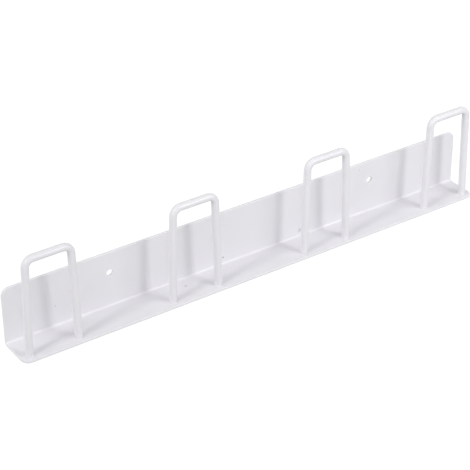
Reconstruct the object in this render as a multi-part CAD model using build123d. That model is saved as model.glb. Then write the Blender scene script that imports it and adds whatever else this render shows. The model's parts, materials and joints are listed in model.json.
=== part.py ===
"""Wall rack of upright wire loops welded to one folded steel bracket, in millimetres.

X runs along the rack, +Y points into the wall and +Z is up.
The origin lies on the wall face, midway between the two screw holes.
"""

import os

from build123d import *

# Loops of round wire, standing in a row along the front of the shelf
LOOP_COUNT = 4
LOOP_PITCH = 110.0
LOOP_BAR_HEIGHT = 72.0  # from the top of the shelf to the middle of the wire in the top bar
LOOP_TOP_SPREAD = 33.0  # between the legs' centre lines, at the height of the bar
LOOP_FOOT_SPREAD = 37.0  # between the legs' centre lines, at the shelf
LOOP_FRONT_INSET = 6.0  # from the front edge of the shelf to the middle of the wire
WIRE_DIAMETER = 5.4  # over its coating
WIRE_BEND_RADIUS = 6.0  # to the middle of the wire

# Weld at each foot: metal squeezed out of the wire's end, in a collar with a sloping flank
WELD_COLLAR_SIZE = 1.3  # how far it stands out of the wire, and how high on it

# Bracket: one strip of sheet, bent once along its length into a back plate and a shelf
SHEET_THICKNESS = 2.0
PLATE_HEIGHT = 44.0  # from the underside of the shelf to the top edge of the plate
SHELF_DEPTH = 28.0  # from the wall face to the front edge of the shelf
END_MARGIN = 25.0  # from each end of the bracket to the middle of the nearest loop
BEND_INNER_RADIUS = 1.5
PLATE_CORNER_RADIUS = 6.0
SHELF_CORNER_RADIUS = 6.0
SHEET_EDGE_BREAK = 0.4  # bevel that takes the sharpness off the sheet's outline

# Screw holes, each midway between an end loop and its neighbour
SCREW_HOLE_DIAMETER = 4.8
SCREW_HOLE_HEIGHT = 28.0  # above the underside of the shelf

# Lengths and places that follow from those sizes
LOOP_ROW_LENGTH = LOOP_PITCH * (LOOP_COUNT - 1)
BRACKET_LENGTH = LOOP_ROW_LENGTH + 2 * END_MARGIN
SCREW_HOLE_X = (LOOP_ROW_LENGTH - LOOP_PITCH) / 2
SHELF_UNDERSIDE_Z = -SCREW_HOLE_HEIGHT
SHELF_TOP_Z = SHELF_UNDERSIDE_Z + SHEET_THICKNESS
PLATE_TOP_Z = SHELF_UNDERSIDE_Z + PLATE_HEIGHT
LOOP_BAR_Z = SHELF_TOP_Z + LOOP_BAR_HEIGHT
LOOP_Y = LOOP_FRONT_INSET - SHELF_DEPTH
WIRE_RADIUS = WIRE_DIAMETER / 2

# An edge counts as sharp where its two faces turn by more than this, in degrees
SHARP_TURN = 30.0


def sharp_edges(shape):
    """Edges where two faces meet at an angle, without the lines where one runs smoothly into the next."""
    sharp = ShapeList()
    for edge in shape.edges():
        middle = edge.position_at(0.5)
        beside = [face for face in shape.faces() if any(edge.is_same(other) for other in face.edges())]
        normals = [face.normal_at(middle) for face in beside]
        if len(normals) == 2 and normals[0].get_angle(normals[1]) > SHARP_TURN:
            sharp.append(edge)
    return sharp


def bracket_section():
    """The bent strip seen from its end: plate against the wall, shelf running forward from its foot."""
    outline = Polyline(
        (0, SHELF_UNDERSIDE_Z),
        (0, PLATE_TOP_Z),
        (-SHEET_THICKNESS, PLATE_TOP_Z),
        (-SHEET_THICKNESS, SHELF_TOP_Z),
        (-SHELF_DEPTH, SHELF_TOP_Z),
        (-SHELF_DEPTH, SHELF_UNDERSIDE_Z),
        close=True,
    )
    section = make_face(outline)
    outside_corner = section.vertices().sort_by_distance((0, SHELF_UNDERSIDE_Z))[0]
    section = fillet(outside_corner, BEND_INNER_RADIUS + SHEET_THICKNESS)
    inside_corner = section.vertices().sort_by_distance((-SHEET_THICKNESS, SHELF_TOP_Z))[0]
    return fillet(inside_corner, BEND_INNER_RADIUS)


def folded_bracket():
    """The strip at its full length, with its four free corners rounded and its two screw holes."""
    bracket = extrude(Plane.YZ * bracket_section(), BRACKET_LENGTH / 2, both=True)
    plate_corners = bracket.edges().filter_by(Axis.Y).group_by(Axis.Z)[-1]
    bracket = fillet(plate_corners, PLATE_CORNER_RADIUS)
    shelf_corners = bracket.edges().filter_by(Axis.Z).group_by(Axis.Y)[0]
    bracket = fillet(shelf_corners, SHELF_CORNER_RADIUS)
    bracket = chamfer(sharp_edges(bracket), SHEET_EDGE_BREAK)
    screw_hole = Rot(X=90) * Cylinder(SCREW_HOLE_DIAMETER / 2, 4 * SHEET_THICKNESS)
    for side in (-1, 1):
        bracket -= Pos(X=side * SCREW_HOLE_X) * screw_hole
    return bracket


def weld_foot():
    """End of a leg, on the Z axis with the shelf at zero: the wire widens into its weld collar.

    The flank runs on below zero by the collar's own size, for the shelf plane to trim.
    """
    profile = Polyline(
        (0, -WELD_COLLAR_SIZE),
        (WIRE_RADIUS + 2 * WELD_COLLAR_SIZE, -WELD_COLLAR_SIZE),
        (WIRE_RADIUS, WELD_COLLAR_SIZE),
        (0, WELD_COLLAR_SIZE),
        close=True,
    )
    return revolve(Plane.XZ * make_face(profile), Axis.Z)


def wire_loop(centre_x):
    """One bent wire with both feet, trimmed flush with the top of the shelf."""
    corners = [Vector(centre_x + side * LOOP_TOP_SPREAD / 2, LOOP_Y, LOOP_BAR_Z) for side in (-1, 1)]
    feet = [Vector(centre_x + side * LOOP_FOOT_SPREAD / 2, LOOP_Y, SHELF_TOP_Z) for side in (-1, 1)]
    leg_directions = [(corner - foot).normalized() for corner, foot in zip(corners, feet)]
    collar_tops = [foot + leg * WELD_COLLAR_SIZE for foot, leg in zip(feet, leg_directions)]
    path = FilletPolyline(collar_tops[0], corners[0], corners[1], collar_tops[1], radius=WIRE_BEND_RADIUS)
    wire_section = Plane(origin=collar_tops[0], z_dir=leg_directions[0]) * Circle(WIRE_RADIUS)
    loop = sweep(wire_section, path)
    for foot, leg in zip(feet, leg_directions):
        loop += Plane(origin=foot, z_dir=leg) * weld_foot()
    return split(loop, Plane.XY.offset(SHELF_TOP_Z), keep=Keep.TOP)


os.makedirs("parts", exist_ok=True)
export_step(folded_bracket(), "parts/folded_bracket.step")
for number in range(LOOP_COUNT):
    loop_x = number * LOOP_PITCH - LOOP_ROW_LENGTH / 2
    export_step(wire_loop(loop_x), f"parts/wire_loop_{number + 1}.step")
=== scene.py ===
import json
import math

import bmesh
import bpy
from mathutils import Matrix, Vector


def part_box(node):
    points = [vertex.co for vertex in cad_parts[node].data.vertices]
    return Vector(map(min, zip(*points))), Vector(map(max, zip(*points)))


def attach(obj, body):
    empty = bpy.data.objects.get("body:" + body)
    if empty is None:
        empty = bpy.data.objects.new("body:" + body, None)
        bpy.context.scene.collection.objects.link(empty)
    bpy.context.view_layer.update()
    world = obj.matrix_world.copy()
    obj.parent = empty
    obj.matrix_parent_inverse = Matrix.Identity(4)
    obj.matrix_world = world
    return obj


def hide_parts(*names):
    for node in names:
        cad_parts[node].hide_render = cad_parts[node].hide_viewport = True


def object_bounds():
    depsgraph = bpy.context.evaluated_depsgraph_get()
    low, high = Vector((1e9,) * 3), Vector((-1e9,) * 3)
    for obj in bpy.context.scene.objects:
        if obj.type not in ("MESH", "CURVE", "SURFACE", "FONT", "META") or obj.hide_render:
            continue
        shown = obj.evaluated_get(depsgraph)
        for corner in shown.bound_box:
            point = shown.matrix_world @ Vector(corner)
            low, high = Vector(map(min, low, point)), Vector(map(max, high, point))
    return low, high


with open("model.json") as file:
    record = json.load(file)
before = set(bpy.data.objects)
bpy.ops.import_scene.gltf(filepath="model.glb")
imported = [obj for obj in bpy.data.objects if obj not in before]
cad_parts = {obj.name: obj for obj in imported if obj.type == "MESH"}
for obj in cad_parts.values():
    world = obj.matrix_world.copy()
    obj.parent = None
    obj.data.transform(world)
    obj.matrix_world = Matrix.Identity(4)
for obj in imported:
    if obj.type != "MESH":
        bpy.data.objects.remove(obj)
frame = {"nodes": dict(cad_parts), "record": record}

cad_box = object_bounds()


# Folded bracket: one strip of 2 mm steel sheet, cut flat with rounded corners and two screw holes, then
# bent once along its length and powder-coated white. The back plate is screwed to the wall, and the shelf
# runs forward from its foot.
MM = 0.001
SHEET = 2.0 * MM
BEND_INNER = 1.5 * MM
CORNER = 6.0 * MM
ARC_STEPS = 14
HOLE_STEPS = 28
MERGE_WITHIN = 0.001 * MM
EDGE_ROUND = 0.45 * MM
EDGE_ROUND_STEPS = 3
EDGE_LEAST_TURN = 50  # degrees between two faces, from which their edge is rounded
FLAT_FACE_WEIGHT = 90
bracket_low, bracket_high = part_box("folded_bracket")
screws = next(m for m in frame["record"]["mounts"] if m["name"] == "wall_screws")
hole_x = screws["dims"]["spacing_x_mm"] / 2 * MM
hole_radius = screws["dims"]["hole_r_mm"] * MM
half_length = bracket_high.x
bend_centre_y = bracket_high.y - SHEET - BEND_INNER
bend_centre_z = bracket_low.z + SHEET + BEND_INNER
bend_radius = BEND_INNER + SHEET / 2
plate_run = bracket_high.z - bend_centre_z
bend_run = bend_radius * math.pi / 2
strip_width = plate_run + bend_run + bend_centre_y - bracket_low.y
hole_down = bracket_high.z - screws["pos_m"][2]


def folded(x, down):
    """Where a point of the flat strip lies after the fold, down being its distance from the top edge."""
    if down <= plate_run:
        return Vector((x, bracket_high.y - SHEET / 2, bracket_high.z - down))
    turn = (down - plate_run) / bend_radius
    if turn <= math.pi / 2:
        y = bend_centre_y + bend_radius * math.cos(turn)
        return Vector((x, y, bend_centre_z - bend_radius * math.sin(turn)))
    return Vector((x, bend_centre_y - (down - plate_run - bend_run), bracket_low.z + SHEET / 2))


def arc(centre_x, centre_down, radius, start, end, steps):
    """An arc on the flat strip, its angles in degrees from the rack's right towards the top edge."""
    turns = [math.radians(start + (end - start) * k / steps) for k in range(steps + 1)]
    return [(centre_x + radius * math.cos(t), centre_down - radius * math.sin(t)) for t in turns]


# The flat outline, in panels that meet at the screw holes and along the bend
plate_left = [(-half_length, plate_run)]
plate_left += arc(CORNER - half_length, CORNER, CORNER, 180, 90, ARC_STEPS)
plate_left += [(-hole_x, 0)]
plate_left += arc(-hole_x, hole_down, hole_radius, 90, 270, HOLE_STEPS)
plate_left += [(-hole_x, plate_run)]
plate_right = [(-x, down) for x, down in reversed(plate_left)]
plate_middle = [(-hole_x, plate_run)]
plate_middle += arc(-hole_x, hole_down, hole_radius, -90, 90, HOLE_STEPS)
plate_middle += [(-hole_x, 0)]
plate_middle += [(-x, down) for x, down in reversed(plate_middle)]
shelf = [(x, plate_run + bend_run) for x in (half_length, hole_x, -hole_x, -half_length)]
shelf += arc(CORNER - half_length, strip_width - CORNER, CORNER, 180, 270, ARC_STEPS)
shelf += arc(half_length - CORNER, strip_width - CORNER, CORNER, 270, 360, ARC_STEPS)
panels = [plate_left, plate_middle, plate_right, shelf]
columns = (-half_length, -hole_x, hole_x, half_length)
rows = [plate_run + bend_run * k / ARC_STEPS for k in range(ARC_STEPS + 1)]
for upper, lower in zip(rows, rows[1:]):
    for left, right in zip(columns, columns[1:]):
        panels.append([(left, upper), (right, upper), (right, lower), (left, lower)])

strip = bmesh.new()
for panel in panels:
    strip.faces.new([strip.verts.new(folded(x, down)) for x, down in panel])
bmesh.ops.remove_doubles(strip, verts=strip.verts, dist=MERGE_WITHIN)
bmesh.ops.recalc_face_normals(strip, faces=strip.faces)
for face in strip.faces:
    face.smooth = True
bracket_mesh = bpy.data.meshes.new("folded_bracket_coated")
strip.to_mesh(bracket_mesh)
strip.free()


def linear(hex_colour):
    """An sRGB hex colour as linear red, green, blue and alpha."""
    channels = [int(hex_colour[i:i + 2], 16) / 255 for i in (1, 3, 5)]
    lit = [c / 12.92 if c <= 0.04045 else ((c + 0.055) / 1.055) ** 2.4 for c in channels]
    return (*lit, 1.0)


def add_node(tree, kind, inputs=None, **settings):
    """Adds one node with its settings, and sets or links the inputs given by name or number."""
    node = tree.nodes.new(kind)
    for name, value in settings.items():
        setattr(node, name, value)
    for key, value in (inputs or {}).items():
        if isinstance(value, bpy.types.NodeSocket):
            tree.links.new(value, node.inputs[key])
        else:
            node.inputs[key].default_value = value
    return node


# Powder coat: white polyester powder, sprayed over the welded rack and baked into one hard skin. It gives
# the eye a slightly cool white with a satin shine, a faint orange peel, and a few nibs, where dust fell
# into the coat before it set.
COAT_COLOUR = "#EDECF0"
COAT_COLOUR_THIN = "#E6E5E9"
COAT_CLOUD_WIDTH = 45 * MM
COAT_CLOUD_DETAIL = 2.0
COAT_ROUGHNESS_LEAST = 0.28
COAT_ROUGHNESS_MOST = 0.36
COAT_IOR = 1.5
ORANGE_PEEL_WIDTH = 1.4 * MM
ORANGE_PEEL_HEIGHT = 0.012 * MM
ORANGE_PEEL_DETAIL = 1.5
NIB_COLOUR = "#8E8A90"
NIB_HEIGHT = 0.05 * MM
# Each nib's place in millimetres, its width in millimetres, and how much of its colour shows
NIBS = (
    ((-152.2, -2.0, -10.4), 2.0, 0.40),
    ((-19.1, -2.0, -20.6), 2.2, 0.85),
    ((100.3, -2.0, 10.9), 2.2, 0.22),
    ((47.5, -2.0, -21.3), 5.4, 0.34),
    ((-55.9, -10.7, -26.0), 4.2, 0.30),
)

powder_coat = bpy.data.materials.new("white_powder_coat")
powder_coat.use_nodes = True
coat = powder_coat.node_tree
coat.nodes.clear()
place = add_node(coat, "ShaderNodeTexCoord").outputs["Object"]
clouds = add_node(
    coat, "ShaderNodeTexNoise",
    {"Vector": place, "Scale": 1 / COAT_CLOUD_WIDTH, "Detail": COAT_CLOUD_DETAIL},
)
# In a Mix node for colours, inputs 6 and 7 are the two colours and output 2 is their mix
clean_white = add_node(
    coat, "ShaderNodeMix",
    {0: clouds.outputs["Fac"], 6: linear(COAT_COLOUR_THIN), 7: linear(COAT_COLOUR)},
    data_type="RGBA",
)
shine = add_node(
    coat, "ShaderNodeMapRange",
    {"Value": clouds.outputs["Fac"], "To Min": COAT_ROUGHNESS_MOST, "To Max": COAT_ROUGHNESS_LEAST},
)
nibs = 0.0
for nib_place, nib_width, nib_share in NIBS:
    centre = Vector(nib_place) * MM
    away = add_node(coat, "ShaderNodeVectorMath", {0: place, 1: centre}, operation="DISTANCE")
    nib = add_node(
        coat, "ShaderNodeMapRange",
        {"Value": away.outputs["Value"], "From Max": nib_width / 2 * MM,
         "To Min": nib_share, "To Max": 0.0},
        interpolation_type="SMOOTHSTEP",
    )
    so_far = add_node(
        coat, "ShaderNodeMath", {0: nibs, 1: nib.outputs["Result"]}, operation="MAXIMUM",
    )
    nibs = so_far.outputs[0]
coat_colour = add_node(
    coat, "ShaderNodeMix",
    {0: nibs, 6: clean_white.outputs[2], 7: linear(NIB_COLOUR)},
    data_type="RGBA",
)
peel = add_node(
    coat, "ShaderNodeTexNoise",
    {"Vector": place, "Scale": 1 / ORANGE_PEEL_WIDTH, "Detail": ORANGE_PEEL_DETAIL},
)
relief = add_node(
    coat, "ShaderNodeMath",
    {0: nibs, 1: NIB_HEIGHT / ORANGE_PEEL_HEIGHT, 2: peel.outputs["Fac"]},
    operation="MULTIPLY_ADD",
)
bump = add_node(
    coat, "ShaderNodeBump", {"Height": relief.outputs[0], "Distance": ORANGE_PEEL_HEIGHT},
)
coat_skin = add_node(
    coat, "ShaderNodeBsdfPrincipled",
    {"Base Color": coat_colour.outputs[2], "Roughness": shine.outputs["Result"], "IOR": COAT_IOR,
     "Normal": bump.outputs["Normal"]},
)
add_node(coat, "ShaderNodeOutputMaterial", {"Surface": coat_skin.outputs["BSDF"]})

bracket = bpy.data.objects.new("folded_bracket_coated", bracket_mesh)
bpy.context.scene.collection.objects.link(bracket)
bracket_mesh.materials.append(powder_coat)
wall = bracket.modifiers.new("sheet thickness", "SOLIDIFY")
wall.thickness = SHEET
wall.offset = 0.0
wall.use_even_offset = True
soft_edge = bracket.modifiers.new("coated edge", "BEVEL")
soft_edge.width = EDGE_ROUND
soft_edge.segments = EDGE_ROUND_STEPS
soft_edge.limit_method = "ANGLE"
soft_edge.angle_limit = math.radians(EDGE_LEAST_TURN)
flat_faces = bracket.modifiers.new("flat faces", "WEIGHTED_NORMAL")
flat_faces.weight = FLAT_FACE_WEIGHT
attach(bracket, "root")
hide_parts("folded_bracket")


# Wire loops: round steel wire bent twice into an upside-down U, with its legs a little apart at the feet.
# Each foot is butt-welded to the top of the shelf, and the squeezed-out metal stands round it as a collar.
# The loops are coated together with the bracket.
WIRE_DIAMETER = 5.4 * MM
WIRE_BEND = 6.0 * MM
TOP_SPREAD = 33.0 * MM
FOOT_SPREAD = 37.0 * MM
RING_SIDES = 40
BEND_STEPS = 18
WELD_SIZE = 1.3 * MM
WELD_HOLLOW = 2.0  # power of the collar's flank, where 1 is a straight slope
WELD_UNEVENNESS = 0.25 * MM
WELD_LUMP_WIDTH = 1.6 * MM
WELD_LUMP_DETAIL = 1.0
NOISE_MIDDLE = 0.5
COLLAR_STEPS = 9

sweep = bpy.data.node_groups.new("wire_loop_sweep", "GeometryNodeTree")
for name, kind in (
    ("Path", "NodeSocketGeometry"),
    ("Wire radius", "NodeSocketFloat"),
    ("Bend radius", "NodeSocketFloat"),
    ("Bend steps", "NodeSocketInt"),
    ("Ring sides", "NodeSocketInt"),
    ("Weld size", "NodeSocketFloat"),
    ("Weld hollow", "NodeSocketFloat"),
    ("Collar steps", "NodeSocketInt"),
    ("Weld unevenness", "NodeSocketFloat"),
    ("Weld lump width", "NodeSocketFloat"),
    ("Shelf height", "NodeSocketFloat"),
    ("Coat", "NodeSocketMaterial"),
):
    sweep.interface.new_socket(name, in_out="INPUT", socket_type=kind)
sweep.interface.new_socket("Loop", in_out="OUTPUT", socket_type="NodeSocketGeometry")
size = add_node(sweep, "NodeGroupInput").outputs

# The drawn line gets its two bends, and short steps at its feet for the collars
path = add_node(sweep, "GeometryNodeMeshToCurve", {"Mesh": size["Path"]})
legs = add_node(sweep, "GeometryNodeCurveEndpointSelection", {"Start Size": 2, "End Size": 2})
corners = add_node(
    sweep, "FunctionNodeBooleanMath", {0: legs.outputs["Selection"]}, operation="NOT",
)
bend = add_node(
    sweep, "ShaderNodeMath", {0: size["Bend radius"], 1: corners.outputs[0]}, operation="MULTIPLY",
)
bent = add_node(
    sweep, "GeometryNodeFilletCurve",
    {"Curve": path.outputs["Curve"], "Count": size["Bend steps"], "Radius": bend.outputs[0]},
    mode="POLY",
)
feet = add_node(sweep, "GeometryNodeCurveEndpointSelection", {"Start Size": 1, "End Size": 2})
cuts = add_node(
    sweep, "ShaderNodeMath",
    {0: size["Collar steps"], 1: feet.outputs["Selection"]},
    operation="MULTIPLY",
)
stepped = add_node(
    sweep, "GeometryNodeSubdivideCurve", {"Curve": bent.outputs["Curve"], "Cuts": cuts.outputs[0]},
)

# The wire widens towards each foot in a hollow curve, and a ring is swept along it
along = add_node(sweep, "GeometryNodeSplineParameter").outputs["Length"]
whole = add_node(sweep, "GeometryNodeSplineLength").outputs["Length"]
from_end = add_node(sweep, "ShaderNodeMath", {0: whole, 1: along}, operation="SUBTRACT")
from_foot = add_node(
    sweep, "ShaderNodeMath", {0: along, 1: from_end.outputs[0]}, operation="MINIMUM",
)
into_collar = add_node(
    sweep, "ShaderNodeMapRange",
    {"Value": from_foot.outputs[0], "From Max": size["Weld size"], "To Min": 1.0, "To Max": 0.0},
)
hollow = add_node(
    sweep, "ShaderNodeMath",
    {0: into_collar.outputs["Result"], 1: size["Weld hollow"]},
    operation="POWER",
)
flare = add_node(
    sweep, "ShaderNodeMath", {0: size["Weld size"], 1: size["Wire radius"]}, operation="DIVIDE",
)
swelling = add_node(
    sweep, "ShaderNodeMath",
    {0: hollow.outputs[0], 1: flare.outputs[0], 2: 1.0},
    operation="MULTIPLY_ADD",
)
sized = add_node(
    sweep, "GeometryNodeSetCurveRadius",
    {"Curve": stepped.outputs["Curve"], "Radius": swelling.outputs[0]},
)
ring = add_node(
    sweep, "GeometryNodeCurvePrimitiveCircle",
    {"Resolution": size["Ring sides"], "Radius": size["Wire radius"]},
)
wire = add_node(
    sweep, "GeometryNodeCurveToMesh",
    {"Curve": sized.outputs["Curve"], "Profile Curve": ring.outputs["Curve"], "Fill Caps": True},
)

# The collars are made uneven, most at the shelf and not at all on the wire
spot = add_node(sweep, "GeometryNodeInputPosition").outputs["Position"]
spot_parts = add_node(sweep, "ShaderNodeSeparateXYZ", {"Vector": spot}).outputs
collar_top = add_node(
    sweep, "ShaderNodeMath", {0: size["Shelf height"], 1: size["Weld size"]}, operation="ADD",
)
unevenness = add_node(
    sweep, "ShaderNodeMapRange",
    {"Value": spot_parts["Z"], "From Min": size["Shelf height"], "From Max": collar_top.outputs[0],
     "To Min": size["Weld unevenness"], "To Max": 0.0},
)
lumps_per_metre = add_node(
    sweep, "ShaderNodeMath", {0: 1.0, 1: size["Weld lump width"]}, operation="DIVIDE",
)
lumps = add_node(
    sweep, "ShaderNodeTexNoise",
    {"Vector": spot, "Scale": lumps_per_metre.outputs[0], "Detail": WELD_LUMP_DETAIL},
)
lump = add_node(
    sweep, "ShaderNodeMath", {0: lumps.outputs["Fac"], 1: NOISE_MIDDLE}, operation="SUBTRACT",
)
rise = add_node(
    sweep, "ShaderNodeMath",
    {0: lump.outputs[0], 1: unevenness.outputs["Result"]},
    operation="MULTIPLY",
)
outward = add_node(sweep, "GeometryNodeInputNormal").outputs["Normal"]
push = add_node(
    sweep, "ShaderNodeVectorMath", {0: outward, "Scale": rise.outputs[0]}, operation="SCALE",
)
welded = add_node(
    sweep, "GeometryNodeSetPosition",
    {"Geometry": wire.outputs["Mesh"], "Offset": push.outputs["Vector"]},
)

# What reaches below the shelf is trimmed flush with it
seat_z = add_node(
    sweep, "ShaderNodeMath", {0: spot_parts["Z"], 1: size["Shelf height"]}, operation="MAXIMUM",
)
seat = add_node(
    sweep, "ShaderNodeCombineXYZ",
    {"X": spot_parts["X"], "Y": spot_parts["Y"], "Z": seat_z.outputs[0]},
)
seated = add_node(
    sweep, "GeometryNodeSetPosition",
    {"Geometry": welded.outputs["Geometry"], "Position": seat.outputs["Vector"]},
)
smooth = add_node(sweep, "GeometryNodeSetShadeSmooth", {"Geometry": seated.outputs["Geometry"]})
real = add_node(sweep, "GeometryNodeRealizeInstances", {"Geometry": smooth.outputs["Geometry"]})
coated = add_node(
    sweep, "GeometryNodeSetMaterial",
    {"Geometry": real.outputs["Geometry"], "Material": size["Coat"]},
)
add_node(sweep, "NodeGroupOutput", {"Loop": coated.outputs["Geometry"]})

# Each loop is drawn as one line through foot, collar and corner on its left and back down its right
for node in sorted(n for n in frame["nodes"] if n.startswith("wire_loop_")):
    loop_low, loop_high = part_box(node)
    middle_x = (loop_low.x + loop_high.x) / 2
    middle_y = (loop_low.y + loop_high.y) / 2
    bar_z = loop_high.z - WIRE_DIAMETER / 2
    left_foot = Vector((middle_x - FOOT_SPREAD / 2, middle_y, loop_low.z))
    left_corner = Vector((middle_x - TOP_SPREAD / 2, middle_y, bar_z))
    left_collar = left_foot + (left_corner - left_foot).normalized() * WELD_SIZE
    left = [left_foot, left_collar, left_corner]
    right = [Vector((2 * middle_x - p.x, p.y, p.z)) for p in reversed(left)]
    points = left + right
    line = bpy.data.meshes.new(f"{node}_path")
    line.from_pydata(points, [(k, k + 1) for k in range(len(points) - 1)], [])
    drawn = bpy.data.objects.new(f"{node}_path", line)
    bpy.context.scene.collection.objects.link(drawn)
    swept = drawn.modifiers.new("sweep", "NODES")
    swept.node_group = sweep
    values = {
        "Wire radius": WIRE_DIAMETER / 2, "Bend radius": WIRE_BEND, "Bend steps": BEND_STEPS,
        "Ring sides": RING_SIDES, "Weld size": WELD_SIZE, "Weld hollow": WELD_HOLLOW,
        "Collar steps": COLLAR_STEPS, "Weld unevenness": WELD_UNEVENNESS,
        "Weld lump width": WELD_LUMP_WIDTH, "Shelf height": loop_low.z, "Coat": powder_coat,
    }
    for socket in sweep.interface.items_tree:
        if socket.name in values:
            swept[socket.identifier] = values[socket.name]
    ready = drawn.evaluated_get(bpy.context.evaluated_depsgraph_get())
    loop_mesh = bpy.data.meshes.new_from_object(ready)
    loop_mesh.name = f"{node}_coated"
    bpy.data.objects.remove(drawn)
    loop = bpy.data.objects.new(f"{node}_coated", loop_mesh)
    bpy.context.scene.collection.objects.link(loop)
    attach(loop, "root")
    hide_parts(node)


# Floor: a plain pale floor well below the rack, which hangs on a wall in use. It is painted and takes the
# rack's shadow. Looked at directly or in a mirroring surface it glows, so that where it is lit it looks
# white.
FLOOR_COLOUR = "#D4D4D4"
FLOOR_GLOW = 1.15
FLOOR_GLOW_SHARE = 0.85
FLOOR_DROP = 0.60
FLOOR_WIDTH = 12.0

floor_paint = bpy.data.materials.new("pale_floor_paint")
floor_paint.use_nodes = True
paint = floor_paint.node_tree
paint.nodes.clear()
floor_matt = add_node(paint, "ShaderNodeBsdfDiffuse", {"Color": linear(FLOOR_COLOUR)})
floor_glow = add_node(paint, "ShaderNodeEmission", {"Strength": FLOOR_GLOW})
seen = add_node(paint, "ShaderNodeLightPath").outputs
mirrored = add_node(
    paint, "ShaderNodeMath",
    {0: seen["Is Glossy Ray"], 1: seen["Is Transmission Ray"]},
    operation="MAXIMUM",
)
looked_at = add_node(
    paint, "ShaderNodeMath", {0: seen["Is Camera Ray"], 1: mirrored.outputs[0]}, operation="MAXIMUM",
)
glow_share = add_node(
    paint, "ShaderNodeMath", {0: looked_at.outputs[0], 1: FLOOR_GLOW_SHARE}, operation="MULTIPLY",
)
floor_mix = add_node(
    paint, "ShaderNodeMixShader",
    {0: glow_share.outputs[0], 1: floor_matt.outputs["BSDF"], 2: floor_glow.outputs["Emission"]},
)
add_node(paint, "ShaderNodeOutputMaterial", {"Surface": floor_mix.outputs["Shader"]})
floor_z = cad_box[0].z - FLOOR_DROP
reach = FLOOR_WIDTH / 2
floor_corners = [(x * reach, y * reach, floor_z) for x, y in ((-1, -1), (1, -1), (1, 1), (-1, 1))]
floor_mesh = bpy.data.meshes.new("floor")
floor_mesh.from_pydata(floor_corners, [], [(0, 1, 2, 3)])
floor_mesh.materials.append(floor_paint)
floor = bpy.data.objects.new("floor", floor_mesh)
bpy.context.scene.collection.objects.link(floor)


# Studio light: a white tent all round, lit more on its left side, which looks white wherever it is seen or
# mirrored, and three soft boxes: two side by side to the right in front, whose shadows fall on the back
# plate, and one to the left, whose shadows fall along the shelf.
TENT_COLOUR = "#FFFFFF"
TENT_LIGHT_LEFT = 0.92
TENT_LIGHT_RIGHT = 0.32
TENT_WHITE = 1.0
SOFT_BOXES = (  # degrees round from the front and up, distance and width in metres, power in watts
    ("soft_box_right", 24.0, 27.0, 1.35, 0.28, 3.1),
    ("soft_box_far_right", 37.0, 24.0, 1.31, 0.65, 3.7),
    ("soft_box_left", -78.0, 39.0, 3.00, 0.55, 18.9),
)

world = bpy.data.worlds.new("light_tent")
bpy.context.scene.world = world
world.use_nodes = True
tent = world.node_tree
tent.nodes.clear()
seen = add_node(tent, "ShaderNodeLightPath").outputs
mirrored = add_node(
    tent, "ShaderNodeMath",
    {0: seen["Is Glossy Ray"], 1: seen["Is Transmission Ray"]},
    operation="MAXIMUM",
)
looked_at = add_node(
    tent, "ShaderNodeMath", {0: seen["Is Camera Ray"], 1: mirrored.outputs[0]}, operation="MAXIMUM",
)
tent_way = add_node(tent, "ShaderNodeTexCoord").outputs["Generated"]
tent_side = add_node(tent, "ShaderNodeSeparateXYZ", {"Vector": tent_way}).outputs["X"]
tent_strength = add_node(
    tent, "ShaderNodeMapRange",
    {"Value": tent_side, "From Min": -1.0, "From Max": 1.0,
     "To Min": TENT_LIGHT_LEFT, "To Max": TENT_LIGHT_RIGHT},
)
tent_light = add_node(
    tent, "ShaderNodeBackground",
    {"Color": linear(TENT_COLOUR), "Strength": tent_strength.outputs["Result"]},
)
tent_white = add_node(
    tent, "ShaderNodeBackground", {"Color": linear(TENT_COLOUR), "Strength": TENT_WHITE},
)
tent_mix = add_node(
    tent, "ShaderNodeMixShader",
    {0: looked_at.outputs[0], 1: tent_light.outputs["Background"], 2: tent_white.outputs["Background"]},
)
add_node(tent, "ShaderNodeOutputWorld", {"Surface": tent_mix.outputs["Shader"]})

for name, around, height, away, width, power in SOFT_BOXES:
    lamp_data = bpy.data.lights.new(name, "AREA")
    lamp_data.shape = "SQUARE"
    lamp_data.size = width
    lamp_data.energy = power
    lamp = bpy.data.objects.new(name, lamp_data)
    a, e = math.radians(around), math.radians(height)
    towards = Vector((math.sin(a) * math.cos(e), -math.cos(a) * math.cos(e), math.sin(e)))
    facing = towards.to_track_quat("Z", "Y").to_matrix().to_4x4()
    lamp.matrix_world = Matrix.Translation(towards * away) @ facing
    bpy.context.scene.collection.objects.link(lamp)


# Camera: a long lens from the rack's left front, looking down on it, with a trace of roll.
# Angles in degrees; the lens is given by its focal length in pixels of the square picture.
CAMERA_AROUND = -34.116
CAMERA_HEIGHT = 31.579
CAMERA_ROLL = -0.303
CAMERA_AWAY = 1160.518 * MM
CAMERA_AIM = Vector((-7.536 * MM, 0, -7.235 * MM))
LENS_IN_PIXELS = 1656.143
IMAGE_WIDTH = 470

camera_data = bpy.data.cameras.new("camera")
camera_data.lens = LENS_IN_PIXELS / IMAGE_WIDTH * camera_data.sensor_width
camera = bpy.data.objects.new("camera", camera_data)
a, e, r = (math.radians(v) for v in (CAMERA_AROUND, CAMERA_HEIGHT, CAMERA_ROLL))
back = Vector((math.sin(a) * math.cos(e), -math.cos(a) * math.cos(e), math.sin(e)))
level_right = Vector((math.cos(a), math.sin(a), 0))
level_up = back.cross(level_right)
right = math.cos(r) * level_right + math.sin(r) * level_up
up = math.cos(r) * level_up - math.sin(r) * level_right
turn = Matrix((right, up, back)).transposed().to_4x4()
camera.matrix_world = Matrix.Translation(CAMERA_AIM + back * CAMERA_AWAY) @ turn
bpy.context.scene.collection.objects.link(camera)
bpy.context.scene.camera = camera
bpy.context.scene.view_settings.view_transform = "Standard"
